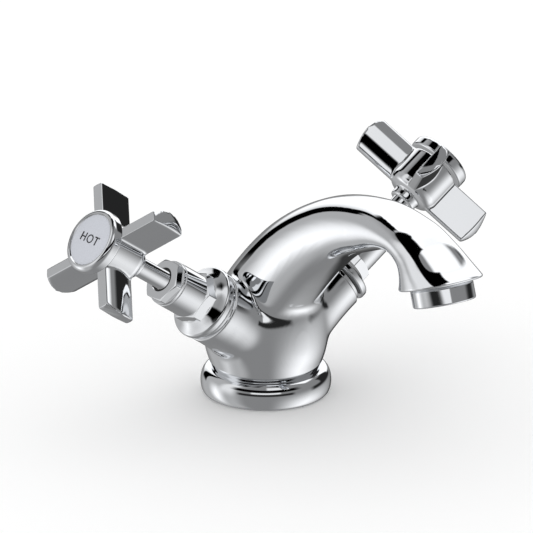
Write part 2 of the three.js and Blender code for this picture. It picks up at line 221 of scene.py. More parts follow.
def chrome_plate(finishes):
    """Bright chrome over polished brass: a clear mirror, with a trace of haze and of the
    buffing wheel's slow waves."""
    material, tree, shader, place = surface("chrome plate", {"Metallic": 1.0})
    tone = Vector(finishes.chrome)
    share = vary(tree, place, 0.030, 0.0, 1.0)
    tint(tree, shader, share, (*tone, 1.0), (*(tone * 0.97), 1.0))
    haze = vary(tree, place, 0.006, 0.030, 0.055)
    tree.links.new(haze, shader.inputs["Roughness"])
    relief(tree, shader, vary(tree, place, 0.011, 0.0, 1.0), 0.05, 0.00004)
    return material


def satin_disc(finishes):
    """Moulded ABS with a pale silver lacquer: a soft broad sheen and a very fine grain."""
    material, tree, shader, place = surface("silver lacquered ABS", {
        "Metallic": 0.25, "IOR": 1.5, "Coat Weight": 0.3, "Coat Roughness": 0.12,
    })
    tone = Vector(finishes.index)
    share = vary(tree, place, 0.0006, 0.0, 1.0)
    tint(tree, shader, share, (*tone, 1.0), (*(tone * 0.94), 1.0))
    tree.links.new(vary(tree, place, 0.004, 0.30, 0.40), shader.inputs["Roughness"])
    relief(tree, shader, share, 0.08, 0.00002)
    return material


def printed_ink(finishes):
    """Pad-printed ink: near black, thin and slightly glossy."""
    material, tree, shader, place = surface("printed ink", {"IOR": 1.5})
    tone = Vector(finishes.ink)
    share = vary(tree, place, 0.0008, 0.0, 1.0)
    tint(tree, shader, share, (*tone, 1.0), (*(tone * 1.5), 1.0))
    tree.links.new(vary(tree, place, 0.002, 0.35, 0.5), shader.inputs["Roughness"])
    return material


def turned_brass():
    """Machined brass: warm, with fine turning marks."""
    material, tree, shader, place = surface("turned brass", {"Metallic": 1.0})
    share = vary(tree, place, 0.003, 0.0, 1.0)
    tint(tree, shader, share, linear("C9A664"), linear("B18A48"))
    marks = vary(tree, place, 0.0005, 0.22, 0.38)
    tree.links.new(marks, shader.inputs["Roughness"])
    relief(tree, shader, marks, 0.2, 0.00003)
    return material


def stainless():
    """Plain stainless steel of small fasteners: grey and lightly brushed."""
    material, tree, shader, place = surface("stainless steel", {"Metallic": 1.0})
    share = vary(tree, place, 0.002, 0.0, 1.0)
    tint(tree, shader, share, linear("BFC1C3"), linear("A3A5A8"))
    tree.links.new(vary(tree, place, 0.0006, 0.22, 0.36), shader.inputs["Roughness"])
    return material


def seal_rubber(finishes):
    """EPDM rubber: matt black with a dusty bloom."""
    material, tree, shader, place = surface("EPDM rubber", {"IOR": 1.52})
    tone = Vector(finishes.rubber)
    share = vary(tree, place, 0.002, 0.0, 1.0)
    tint(tree, shader, share, (*tone, 1.0), (*(tone * 1.8), 1.0))
    tree.links.new(vary(tree, place, 0.0007, 0.6, 0.85), shader.inputs["Roughness"])
    relief(tree, shader, share, 0.15, 0.00004)
    return material


def alumina():
    """Ground alumina ceramic: ivory white and nearly flat."""
    material, tree, shader, place = surface("ground alumina", {"IOR": 1.76})
    share = vary(tree, place, 0.0015, 0.0, 1.0)
    tint(tree, shader, share, linear("F0EDE6"), linear("E4E0D6"))
    tree.links.new(vary(tree, place, 0.001, 0.18, 0.3), shader.inputs["Roughness"])
    return material


def acetal():
    """Moulded acetal of the aerator: off-white, slightly waxy."""
    material, tree, shader, place = surface(
        "moulded acetal", {"IOR": 1.48, "Subsurface Weight": 0.05, "Subsurface Scale": 0.001})
    share = vary(tree, place, 0.002, 0.0, 1.0)
    tint(tree, shader, share, linear("E9E9E6"), linear("D8D9D6"))
    tree.links.new(vary(tree, place, 0.001, 0.35, 0.5), shader.inputs["Roughness"])
    return material


def finish_named(name):
    """The material of that name, made the first time it is asked for."""
    finishes = bpy.context.scene.mixer_finishes
    makers = {
        "chrome plate": lambda: chrome_plate(finishes),
        "silver lacquered ABS": lambda: satin_disc(finishes),
        "printed ink": lambda: printed_ink(finishes),
        "turned brass": turned_brass,
        "stainless steel": stainless,
        "EPDM rubber": lambda: seal_rubber(finishes),
        "ground alumina": alumina,
        "moulded acetal": acetal,
    }
    return bpy.data.materials.get(name) or makers[name]()


# ---------------------------------------------------------------- shaping


def turned(profile, corner=0.0):
    """A bmesh turned on Z from (radius, height) pairs in millimetres. A profile that
    starts off the axis closes on itself, and corner rounds its sharp edges."""
    bm = bmesh.new()
    points = [bm.verts.new((radius * MM, 0.0, height * MM)) for radius, height in profile]
    edges = [bm.edges.new(pair) for pair in zip(points, points[1:])]
    if profile[0][0] > 0:
        edges.append(bm.edges.new((points[-1], points[0])))
    bmesh.ops.spin(
        bm, geom=points + edges, cent=(0, 0, 0), axis=(0, 0, 1), angle=math.tau,
        steps=TURN_STEPS, use_merge=True)
    bmesh.ops.remove_doubles(bm, verts=bm.verts, dist=SAME_POINT)
    bmesh.ops.recalc_face_normals(bm, faces=bm.faces)
    if corner:
        soften(bm, corner)
    return bm


def soften(bm, corner):
    """Rounds the edges of a bmesh that turn by more than the sharp angle."""
    sharp = [e for e in bm.edges if e.is_manifold and e.calc_face_angle(0) > SHARP_ANGLE]
    bmesh.ops.bevel(
        bm, geom=sharp, offset=corner * MM, affect="EDGES", segments=4,
        profile=0.5, material=-1, clamp_overlap=True)


def arc(centre, radius, start, end, steps):
    """Points of an arc in a profile, from start to end in degrees."""
    for step in range(steps + 1):
        angle = math.radians(start + (end - start) * step / steps)
        yield centre[0] + radius * math.cos(angle), centre[1] + radius * math.sin(angle)


def add_to(bm, other):
    """Adds a second bmesh to the first and frees it."""
    mesh = bpy.data.meshes.new("part")
    other.to_mesh(mesh)
    other.free()
    bm.from_mesh(mesh)
    bpy.data.meshes.remove(mesh)


def as_object(bm, name):
    mesh = bpy.data.meshes.new(name)
    bm.to_mesh(mesh)
    bm.free()
    piece = bpy.data.objects.new(name, mesh)
    bpy.context.scene.collection.objects.link(piece)
    return piece


def applied(piece):
    """A bmesh of a helper object with its modifiers applied. The helper is removed."""
    bpy.context.view_layer.update()
    graph = bpy.context.evaluated_depsgraph_get()
    bm = bmesh.new()
    bm.from_object(piece, graph)
    mesh = piece.data
    bpy.data.objects.remove(piece)
    bpy.data.meshes.remove(mesh)
    return bm


def fused(bm, grain, rounds, valley=None, valley_rounds=0):
    """Fuses overlapping solids into one skin and smooths it. valley gives a weight for
    each point, and where it is high the skin is smoothed further."""
    helper = as_object(bm, "helper")
    remesh = helper.modifiers.new("Fuse", "REMESH")
    remesh.mode = "VOXEL"
    remesh.voxel_size = grain
    helper = as_object(applied(helper), "helper")
    even = helper.modifiers.new("Even out", "SMOOTH")
    even.factor = 0.5
    even.iterations = rounds
    if valley:
        group = helper.vertex_groups.new(name="valley")
        for vert in helper.data.vertices:
            weight = valley(vert.co)
            if weight > 0:
                group.add([vert.index], weight, "REPLACE")
        fill = helper.modifiers.new("Fill valleys", "SMOOTH")
        fill.factor = 0.5
        fill.iterations = valley_rounds
        fill.vertex_group = group.name
    return applied(helper)


def finished(bm, name, body, finish, place=None, replaces=()):
    """Makes the finished piece, in its place in the frame, riding on its body."""
    if place is not None:
        bmesh.ops.transform(bm, matrix=place, verts=bm.verts)
    piece = as_object(bm, name)
    piece.data.materials.append(finish_named(finish))
    piece.data.shade_smooth()
    piece.data.set_sharp_from_angle(angle=CREASE_ANGLE)
    normals = piece.modifiers.new("Even shading", "WEIGHTED_NORMAL")
    normals.keep_sharp = True
    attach(piece, body)
    # The valves would crowd the spout's polished flanks, so mirror rays pass them by.
    piece.visible_glossy = not name.startswith(SIDES)
    if replaces:
        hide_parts(*replaces)


def valve_place(side):
    """The matrix that stands a shape made on Z on that side's valve axis."""
    joint = JOINTS[f"{side}_turn"]
    lean = math.atan2(joint["axis"][0], joint["axis"][2])
    return Matrix.Translation(joint["pos_m"]) @ Matrix.Rotation(lean, 4, "Y")


def frame_height(part, side="hot"):
    """Where a round CAD piece starts and ends along its valve axis, in millimetres."""
    inverse = valve_place(side).inverted()
    heights = [(inverse @ v.co).z / MM for v in frame["nodes"][f"{side}_{part}"].data.vertices]
    return min(heights), max(heights)


def mouth_place():
    """The matrix that stands a shape made on Z in the mouth, +Z up the nozzle."""
    return Matrix.Translation(MOUTH_CENTRE) @ Matrix.Rotation(-MOUTH_TILT, 4, "X")


# ---------------------------------------------------------------- cast body


def station_at(at):
    """The spout station at a place along the list, on a smooth curve through it."""
    span = min(int(at), len(SPOUT) - 2)
    t = at - span
    rows = [SPOUT[max(0, min(len(SPOUT) - 1, span + k))] for k in (-1, 0, 1, 2)]
    if span == 0:
        rows[0] = tuple(2 * a - b for a, b in zip(SPOUT[0], SPOUT[1]))
    if span == len(SPOUT) - 2:
        rows[3] = tuple(2 * a - b for a, b in zip(SPOUT[-1], SPOUT[-2]))
    return [
        0.5 * (2 * b + (c - a) * t + (2 * a - 5 * b + 4 * c - d) * t * t
               + (3 * b - a - 3 * c + d) * t ** 3)
        for a, b, c, d in zip(*rows)
    ]


def section_point(station, around):
    """A point of the spout's squared oval section, at an angle round it."""
    y, z, lean, high, wide = station
    power = 2 / SPOUT_SQUARENESS
    across = math.copysign(abs(math.cos(around)) ** power, math.cos(around)) * wide
    up = math.copysign(abs(math.sin(around)) ** power, math.sin(around)) * high
    tilt = math.radians(lean)
    return Vector((across, y + up * math.sin(tilt), z + up * math.cos(tilt))) * MM


def spout_tube():
    """The spout's solid, grown ring by ring along its stations."""
    bm = bmesh.new()
    around = bm.verts.layers.float.new("around")
    ring = bmesh.ops.create_circle(bm, cap_ends=False, segments=SPOUT_SIDES, radius=1.0)["verts"]
    for vert in ring:
        vert[around] = math.atan2(vert.co.y, vert.co.x)
    edges = list(bm.edges)
    steps = STEPS_PER_SPAN * (len(SPOUT) - 1)
    for step in range(steps + 1):
        if step:
            grown = bmesh.ops.extrude_edge_only(bm, edges=edges)["geom"]
            ring = [g for g in grown if isinstance(g, bmesh.types.BMVert)]
            fresh = set(ring)
            edges = [e for e in grown if isinstance(e, bmesh.types.BMEdge) and fresh.issuperset(e.verts)]
        station = station_at(step / STEPS_PER_SPAN)
        for vert in ring:
            vert.co = section_point(station, vert[around])
    # The tube runs on past the mouth, so that it can be cut off square.
    grown = bmesh.ops.extrude_edge_only(bm, edges=edges)["geom"]
    past = MOUTH_DOWN * 4 * MM
    bmesh.ops.translate(bm, vec=past, verts=[g for g in grown if isinstance(g, bmesh.types.BMVert)])
    bmesh.ops.holes_fill(bm, edges=[e for e in bm.edges if e.is_boundary])
    bmesh.ops.recalc_face_normals(bm, faces=bm.faces)
    return bm


def trunk(sizes):
    neck = sizes.neck_radius / MM
    top = sizes.trunk_height / MM
    return turned([
        (0, 2), (neck - 0.4, 2), (neck, 10), (neck + 0.6, 12.5), (neck + 1.5, 15), (neck + 2.5, 18),
        (neck + 3.1, 22), (neck + 3.2, 27), (neck + 2.9, 32), (neck + 2.4, 36), (neck + 1.4, top - 4),
        (neck - 0.6, top - 1.8), (neck - 3, top - 0.8), (neck - 8, top - 0.2), (0, top),
    ])


def arm(sizes):
    end = sizes.arm_end / MM
    radius = sizes.arm_radius / MM
    return turned([
        (0, 0), (17, 0), (16.6, 8), (15.9, 14), (15.2, 20), (radius + 0.2, 26), (radius, 31),
        (radius, end), (radius - 0.1, end + 4), (0, end + 4),
    ])


def cut_square(bm, centre, outward, rim, keep_out):
    """Cuts the end off one limb of a bmesh and gives the cut a rounded rim and a face.
    keep_out says which vertices belong to other limbs."""
    limb = [v for v in bm.verts if not keep_out(v.co)]
    chosen = set(limb)
    faces = [f for f in bm.faces if chosen.issuperset(f.verts)]
    edges = list({e for f in faces for e in f.edges})
    start = centre - outward * rim
    bmesh.ops.bisect_plane(
        bm, geom=limb + edges + faces, dist=1e-6, plane_co=start, plane_no=outward,
        clear_outer=True)
    edges = [e for e in bm.edges if e.is_boundary]
    steps = 5
    for step in range(steps):
        grown = bmesh.ops.extrude_edge_only(bm, edges=edges)["geom"]
        ring = [g for g in grown if isinstance(g, bmesh.types.BMVert)]
        fresh = set(ring)
        edges = [e for e in grown if isinstance(e, bmesh.types.BMEdge) and fresh.issuperset(e.verts)]
        before, after = (math.radians(90 * (step + k) / steps) for k in (0, 1))
        out = rim * (math.sin(after) - math.sin(before))
        inward = rim * (math.cos(before) - math.cos(after))
        for vert in ring:
            spoke = centre - vert.co
            spoke -= outward * spoke.dot(outward)
            vert.co += outward * out + spoke.normalized() * inward
    bmesh.ops.holes_fill(bm, edges=edges)


def valley_weight(point):
    """How far a point is in the valleys between trunk, arms and spout, 0 to 1."""
    x, y, z = (value / MM for value in point)
    shares = (
        (27 - abs(x)) / 7,               # the arms' ends stay true
        (z - 12) / 6,                    # and so does the neck over the base
        (62 - z) / 14,
        (34 + y) / 10,                   # and the spout beyond its root
    )
    return max(0.0, min(1.0, *shares))


class MIXER_OT_body(Operator):
    """Model the cast body: trunk, two arms and the swan-neck spout, in one smooth skin"""
    bl_idname = "mixer.body"
    bl_label = "Cast Body"

    def execute(self, context):
        sizes = context.scene.mixer_sizes
        bm = spout_tube()
        add_to(bm, trunk(sizes))
        for side in SIDES:
            limb = arm(sizes)
            bmesh.ops.transform(limb, matrix=valve_place(side), verts=limb.verts)
            add_to(bm, limb)
        bm = fused(bm, sizes.casting_grain, 24, valley_weight, 110)
        for side in SIDES:
            place = valve_place(side)
            outward = (place.to_3x3() @ Vector((0, 0, 1))).normalized()
            end = place @ Vector((0, 0, sizes.arm_end))
            sign = math.copysign(1, outward.x)
            cut_square(bm, end, outward, ARM_RIM, lambda co, s=sign: co.x * s < ARM_FROM)
        cut_square(bm, MOUTH_CENTRE, MOUTH_DOWN, MOUTH_RIM, lambda co: co.y > MOUTH_FROM)
        bmesh.ops.recalc_face_normals(bm, faces=bm.faces)
        finished(bm, "body", FIXED, "chrome plate", replaces=["body_casting"])
        return {"FINISHED"}


class MIXER_OT_base(Operator):
    """Model the bulging round base and the short necks at the arms' ends"""
    bl_idname = "mixer.base"
    bl_label = "Base and Necks"

    def execute(self, context):
        sizes = context.scene.mixer_sizes
        radius = sizes.base_radius / MM
        top = sizes.base_height / MM
        neck = sizes.neck_radius / MM
        widest = 4.5                     # height of the bulge's widest ring
        profile = [(0, DECK_Z / MM), (SEAL_RADIUS / MM, DECK_Z / MM)]
        steps = 32
        for step in range(steps + 1):
            angle = math.radians(-90 + 180 * step / steps)
            out = max(0.0, math.cos(angle)) ** 0.75
            below = step < steps / 2
            inner = radius - 2.2 if below else neck - 0.1
            rise = widest if below else top - widest
            profile.append((inner + (radius - inner) * out, widest + rise * math.sin(angle)))
        profile += [(neck - 1.2, top), (0, top)]
        finished(turned(profile), "base_flange", FIXED, "chrome plate")
        start = sizes.arm_end / MM
        end = frame_height("bonnet_seal")[0]
        for side in SIDES:
            collar = turned([
                (ARM_BORE, start - 2), (13.6, start - 2), (13.4, end), (ARM_BORE, end),
            ], corner=0.3)
            finished(collar, f"{side}_arm_neck", FIXED, "chrome plate", valve_place(side))
        return {"FINISHED"}


# ---------------------------------------------------------------- valves


def hexagon(across, start, end, hole):
    """A hexagon with rounded corners, turned chamfers at its outer end and a round hole."""
    corner = across / math.sqrt(3)
    bm = bmesh.new()
    bmesh.ops.create_cone(
        bm, cap_ends=True, segments=6, radius1=corner * MM, radius2=corner * MM,
        depth=(end - start) * MM)
    bmesh.ops.translate(bm, vec=(0, 0, (start + end) / 2 * MM), verts=bm.verts)
    upright = [e for e in bm.edges if abs(e.verts[0].co.z - e.verts[1].co.z) > 1e-5]
    bmesh.ops.bevel(
        bm, geom=upright, offset=0.35 * MM, affect="EDGES", segments=4, profile=0.5, material=-1)
    prism = as_object(bm, "helper")
    chamfer = as_object(turned([
        (hole, start - 1), (corner + 1, start - 1), (corner + 1, end - 1.5),
        (across / 2 - 0.3, end + 0.02), (hole, end + 0.02),
    ]), "chamfer")
    trim = prism.modifiers.new("Chamfer", "BOOLEAN")
    trim.operation = "INTERSECT"
    trim.solver = "EXACT"
    trim.object = chamfer
    bm = applied(prism)
    mesh = chamfer.data
    bpy.data.objects.remove(chamfer)
    bpy.data.meshes.remove(mesh)
    return bm


class MIXER_OT_bonnets(Operator):
    """Model the bonnets: a thick flange, a hexagon and a plain barrel"""
    bl_idname = "mixer.bonnets"
    bl_label = "Valve Bonnets"

    def execute(self, context):
        sizes = context.scene.mixer_sizes
        radius = sizes.flange_radius / MM
        start = frame_height("bonnet_seal")[1] + CLEARANCE
        edge = start + 3.2
        end = frame_height("gland_nut")[0] - CLEARANCE
        bore = BARREL_RADIUS - BARREL_WALL
        for side in SIDES:
            bm = turned([
                (bore, start), (radius - 0.9, start),
                *arc((radius - 0.9, start + 0.9), 0.9, -90, 0, 5),
                *arc((radius - 1.1, edge - 1.1), 1.1, 0, 70, 6), (11.9, edge + 0.9),
                (10.4, edge + 1.9), (BARREL_RADIUS, edge + 2.2), (BARREL_RADIUS, end), (bore, end),
            ], corner=0.25)
            nut = hexagon(sizes.hexagon_flats / MM, edge + 0.5, HEXAGON_END, bore)
            # One corner of the hexagon stands 43 degrees from the upper side of the arm.
            turn = math.radians(-43 if side == "hot" else 223)
            bmesh.ops.rotate(nut, cent=(0, 0, 0), matrix=Matrix.Rotation(turn, 3, "Z"), verts=nut.verts)
            add_to(bm, nut)
            finished(bm, f"{side}_valve_bonnet", FIXED, "chrome plate",
                     valve_place(side), [f"{side}_bonnet"])
        return {"FINISHED"}


class MIXER_OT_glands(Operator):
    """Model the hexagonal gland nuts on the bonnets and the wiper rings inside them"""
    bl_idname = "mixer.glands"
    bl_label = "Gland Nuts"

    def execute(self, context):
        sizes = context.scene.mixer_sizes
        stem = sizes.stem_radius / MM
        for side in SIDES:
            place = valve_place(side)
            start, end = frame_height("gland_nut", side)
            bm = turned([
                (GLAND_THROAT, start), (9.1, start), (9.1, start + 1.2), (7.4, start + 1.4),
                (7.4, end - 0.4), (GLAND_MOUTH, end - 0.4), (GLAND_MOUTH, end - 2),
                (GLAND_THROAT, end - 2),
            ], corner=0.15)
            add_to(bm, hexagon(sizes.gland_flats / MM, start + 1, end - 0.02, GLAND_MOUTH))
            finished(bm, f"{side}_gland", FIXED, "chrome plate", place, [f"{side}_gland_nut"])
            low = end - 0.85
            inner, outer = stem + 0.1, GLAND_MOUTH - 0.05
            wiper = turned([
                (inner, low), (outer, low), (outer, low + 0.4), (inner, low + 0.5),
            ], corner=0.1)
            finished(wiper, f"{side}_wiper_ring", FIXED, "EPDM rubber", place)
        return {"FINISHED"}


class MIXER_OT_stems(Operator):
    """Model the polished stems between the gland nuts and the handles"""
    bl_idname = "mixer.stems"
    bl_label = "Stems"

    def execute(self, context):
        radius = context.scene.mixer_sizes.stem_radius / MM
        for side in SIDES:
            start, end = frame_height("spindle", side)
            drive = start + 4
            shoulder = HUB_START + 1
            bm = turned([
                (0, start), (radius + 1.5, start), (radius + 1.5, drive), (radius, drive + 1),
                (radius, shoulder), (3.3, shoulder + 0.3), (3.3, end), (0, end),
            ], corner=0.2)
            finished(bm, f"{side}_stem", f"{side}_turning", "chrome plate",
                     valve_place(side), [f"{side}_spindle"])
        return {"FINISHED"}


# ---------------------------------------------------------------- handles


def blade(sizes):
    """One paddle blade along +X: one side flat, the other crowned across its width,
    grown face by face from its front edge to its rear edge."""
    reach = sizes.blade_reach / MM
    root = 6.0
    steps = 28
    tip_steps = 8

    def outline(t):
        arch = 4 * t * (1 - t)
        back = 2.2 - t + 1.9 * arch
        flat_tip = reach - 0.4 * (1 - arch)
        crown_tip = reach - 0.5 + 2.4 * arch
        along = BLADE_FRONT + (BLADE_REAR - BLADE_FRONT) * t
        tip = []
        for step in range(tip_steps + 1):
            share = step / tip_steps
            dome = 0.35 * math.sin(math.pi * share)
            out = flat_tip + (crown_tip - flat_tip) * share + dome
            tip.append((out, BLADE_FLAT + (back - BLADE_FLAT) * share))
        row = [(root, BLADE_FLAT), *tip, (root, back)]
        return [Vector((x, y, along)) * MM for x, y in row]

    bm = bmesh.new()
    face = bm.faces.new([bm.verts.new(point) for point in outline(0)])
    order = bm.verts.layers.int.new("order")
    for place, vert in enumerate(face.verts):
        vert[order] = place
    # The first face stays behind as the front edge.
    for step in range(1, steps + 1):
        grown = bmesh.ops.extrude_face_region(bm, geom=[face], use_keep_orig=step == 1)["geom"]
        face = next(g for g in grown if isinstance(g, bmesh.types.BMFace))
        points = outline(step / steps)
        for vert in face.verts:
            vert.co = points[vert[order]]
    bmesh.ops.recalc_face_normals(bm, faces=bm.faces)
    return bm


class MIXER_OT_handles(Operator):
    """Model the cross handles: a turned hub with paddle blades, fused like a casting"""
    bl_idname = "mixer.handles"
    bl_label = "Cross Handles"

    def execute(self, context):
        sizes = context.scene.mixer_sizes
        bm = turned([
            (0, HUB_START), (5.65, HUB_START), (5.7, 82.6), (8.2, 82.9), (9.4, 83.5), (10.2, 84.5),
            (HUB_RADIUS, 86), (HUB_RADIUS, HUB_END), (0, HUB_END),
        ])
        for number in range(BLADE_COUNT):
            paddle = blade(sizes)
            turn = Matrix.Rotation(math.tau * number / BLADE_COUNT, 3, "Z")
            bmesh.ops.rotate(paddle, cent=(0, 0, 0), matrix=turn, verts=paddle.verts)
            add_to(bm, paddle)
        bm = fused(bm, sizes.handle_grain, 9)
        for side in SIDES:
            # The upper side of an arm is +X on the hot valve and -X on the cold one.
            turn = -BLADE_TURN if side == "hot" else math.pi + BLADE_TURN
            cross = bm.copy()
            place = valve_place(side) @ Matrix.Rotation(turn, 4, "Z")
            finished(cross, f"{side}_cross_handle", f"{side}_turning", "chrome plate",
                     place, [f"{side}_handle"])
        bm.free()
        return {"FINISHED"}


CAPITAL_SHARE = 0.7                    # height of the built-in face's capitals in its size


def lettering(word, height, thickness):
    """A flat word as a thin raised print, centred on Z and facing +Z."""
    curve = bpy.data.curves.new("word", "FONT")
    curve.body = word
    curve.align_x = "CENTER"
    curve.align_y = "CENTER"
    curve.size = height / CAPITAL_SHARE
    curve.space_character = 1.12
    curve.extrude = thickness / 2
    text = bpy.data.objects.new("word", curve)
    bpy.context.scene.collection.objects.link(text)
    bpy.context.view_layer.update()
    graph = bpy.context.evaluated_depsgraph_get()
    mesh = bpy.data.meshes.new_from_object(text.evaluated_get(graph))
    bm = bmesh.new()
    bm.from_mesh(mesh)
    bpy.data.meshes.remove(mesh)
    bpy.data.objects.remove(text)
    bpy.data.curves.remove(curve)
    bmesh.ops.remove_doubles(bm, verts=bm.verts, dist=SAME_POINT)
    return bm


class MIXER_OT_caps(Operator):
    """Model the caps: a polished ring, a slightly domed index disc and its plain word"""
    bl_idname = "mixer.caps"
    bl_label = "Index Caps"

    def execute(self, context):
        sizes = context.scene.mixer_sizes
        radius = sizes.cap_radius / MM
        disc = sizes.disc_radius / MM
        for side in SIDES:
            start = frame_height("handle", side)[1] + CLEARANCE
            face = frame_height("cap_disc", side)[1]
            body = f"{side}_turning"
            place = valve_place(side)
            ring = turned([
                (7.4, start - 2.6), (8.6, start - 2.6), (8.6, start), (10.9, start),
                *arc((radius - 0.9, start + 0.9), 0.9, -90, 0, 6),
                *arc((radius - 2, face - 2.1), 2, 0, 90, 12),
                (disc + 0.25, face - 0.45), (disc + 0.25, start + 3.4), (7.4, start + 3.4),
            ])
            finished(ring, f"{side}_cap_bezel", body, "chrome plate",
                     place, [f"{side}_cap_ring"])
            shares = [1 - step / 12 for step in range(13)]
            dome = [(disc * share, face - 0.1 - 0.45 * share ** 2) for share in shares]
            plate = turned([(0, start + 3.7), (disc, start + 3.7), *dome], corner=0.12)
            finished(plate, f"{side}_index_disc", body, "silver lacquered ABS",
                     place, [f"{side}_cap_disc"])
            # Text stands upright when its top points to the arm's upper side.
            word = lettering(side.upper(), sizes.letter_height, 0.28 * MM)
            upright = math.radians(-90 if side == "hot" else 90)
            lift = Matrix.Translation((0, 0, (face - 0.16) * MM))
            bmesh.ops.transform(
                word, verts=word.verts, matrix=lift @ Matrix.Rotation(upright, 4, "Z"))
            finished(word, f"{side}_word", body, "printed ink", place)
        return {"FINISHED"}


class MIXER_OT_nozzle(Operator):
    """Model the aerator's ring under the mouth"""
    bl_idname = "mixer.nozzle"
    bl_label = "Aerator Ring"

    def execute(self, context):
        radius = context.scene.mixer_sizes.nozzle_radius / MM
        bm = turned([
            (9.6, -7.3), (radius - 0.8, -7.3), *arc((radius - 0.7, -6.6), 0.7, -80, 0, 5),
            (radius, -1.1), (radius - 0.35, -CLEARANCE), (10.3, -CLEARANCE),
            (10.3, 3), (8.6, 3), (8.6, 1.6), (9.6, 1.6),
        ], corner=0.15)
        finished(bm, "nozzle_ring", FIXED, "chrome plate", mouth_place(), ["aerator_housing"])
        return {"FINISHED"}


CARRIED_FINISHES = {
    "rubber": "EPDM rubber", "brass": "turned brass", "steel": "stainless steel",
    "ceramic": "ground alumina", "aerator_plastic": "moulded acetal",
}


class MIXER_OT_inner(Operator):
    """Give the seals, ceramic discs, sleeves, screws and aerator insert their finishes"""
    bl_idname = "mixer.inner"
    bl_label = "Inner Parts"

    def execute(self, context):
        slots = {row["node"]: row["material_slot"] for row in frame["record"]["subparts"]}
        for name, node in frame["nodes"].items():
            if node.hide_render:
                continue
            finish = finish_named(CARRIED_FINISHES[slots[name]])
            node.data.materials.clear()
            node.data.materials.append(finish)
            node.visible_glossy = not name.startswith(SIDES)
        return {"FINISHED"}


# ---------------------------------------------------------------- studio


CAMERA_TURN = math.radians(36.35)
CAMERA_RISE = math.radians(19.09)
CAMERA_DISTANCE = 2.0006
CAMERA_LENS = 342.9
CAMERA_TARGET = Vector((0.0, 0.0, 0.060))
CAMERA_ASIDE = 0.00026                 # how far right of the target the camera looks
CAMERA_DROP = 0.00797                  # and how far below it
DOME_RADIUS = 4.0
FLOOR_RADIUS = 3.6
FLOOR_GAP = 0.0002
WORLD_BRIGHTNESS = 1.08

# Soft boxes and dark flags round the object: azimuth from the camera (positive to its
# right), height above the horizon, half width, half height, soft edges across and up,
# all in degrees, and brightness. Each lies over the ones before it.
ROOM_BRIGHTNESS = 0.25
PANELS = (
    ("white back wall", 181, 40, 37, 38, 6, 8, 1.25),
    ("white back wall above", 120, 62, 26, 18, 6, 8, 1.20),
    ("left light", -100, -5, 50, 62, 30, 30, 0.46),
    ("left wall's bright end", -72, 35, 14, 40, 16, 30, 0.85),
    ("left glow", -97, -20, 9, 18, 30, 40, 1.45),
    ("right floor light", 85, -42, 36, 26, 90, 44, 1.20),
    ("dark band right", 120, 0, 32, 6, 14, 8, 0.02),
    ("dark sweep behind right", 168, -30, 14, 16, 16, 14, 0.04),
    ("dark flag right", 128, 16, 16, 16, 6, 8, 0.02),
    ("front wall", 24, 48, 22, 12, 6, 5, 0.90),
    ("dark flag in front", 0, 27, 62, 9, 20, 4, 0.0),
    ("front strip", 0, 13, 26, 4, 6, 4, 0.95),
    ("camera's shade", 0, 3, 50, 5, 10, 5, 0.02),
    ("dark ceiling", -112, 82, 90, 16, 4, 4, 0.0),
    ("dark ceiling behind", 170, 84, 28, 14, 4, 4, 0.0),
    ("dark flag behind left", -137, 17, 9.5, 23, 3, 8, 0.0),
    ("dark flag above it", -142, 44, 6, 10, 3, 6, 0.0),
    ("dark flag at the top", -150, 58, 14, 7, 4, 6, 0.0),
)


def inside(tree, angle, centre, half, soft):
    """How far an angle in degrees lies inside a band with soft edges, 0 to 1."""
    off = add_node(
        tree, "ShaderNodeMath", settings={"operation": "SUBTRACT"}, values={1: centre},
        links={0: angle})
    near = add_node(
        tree, "ShaderNodeMath", settings={"operation": "WRAP"}, values={1: 180.0, 2: -180.0},
        links={0: off.outputs[0]})
    size = add_node(
        tree, "ShaderNodeMath", settings={"operation": "ABSOLUTE"}, links={0: near.outputs[0]})
    return add_node(
        tree, "ShaderNodeMapRange", settings={"interpolation_type": "SMOOTHSTEP"},
        values={"From Min": half + soft / 2, "From Max": half - soft / 2},
        links={"Value": size.outputs[0]}).outputs["Result"]


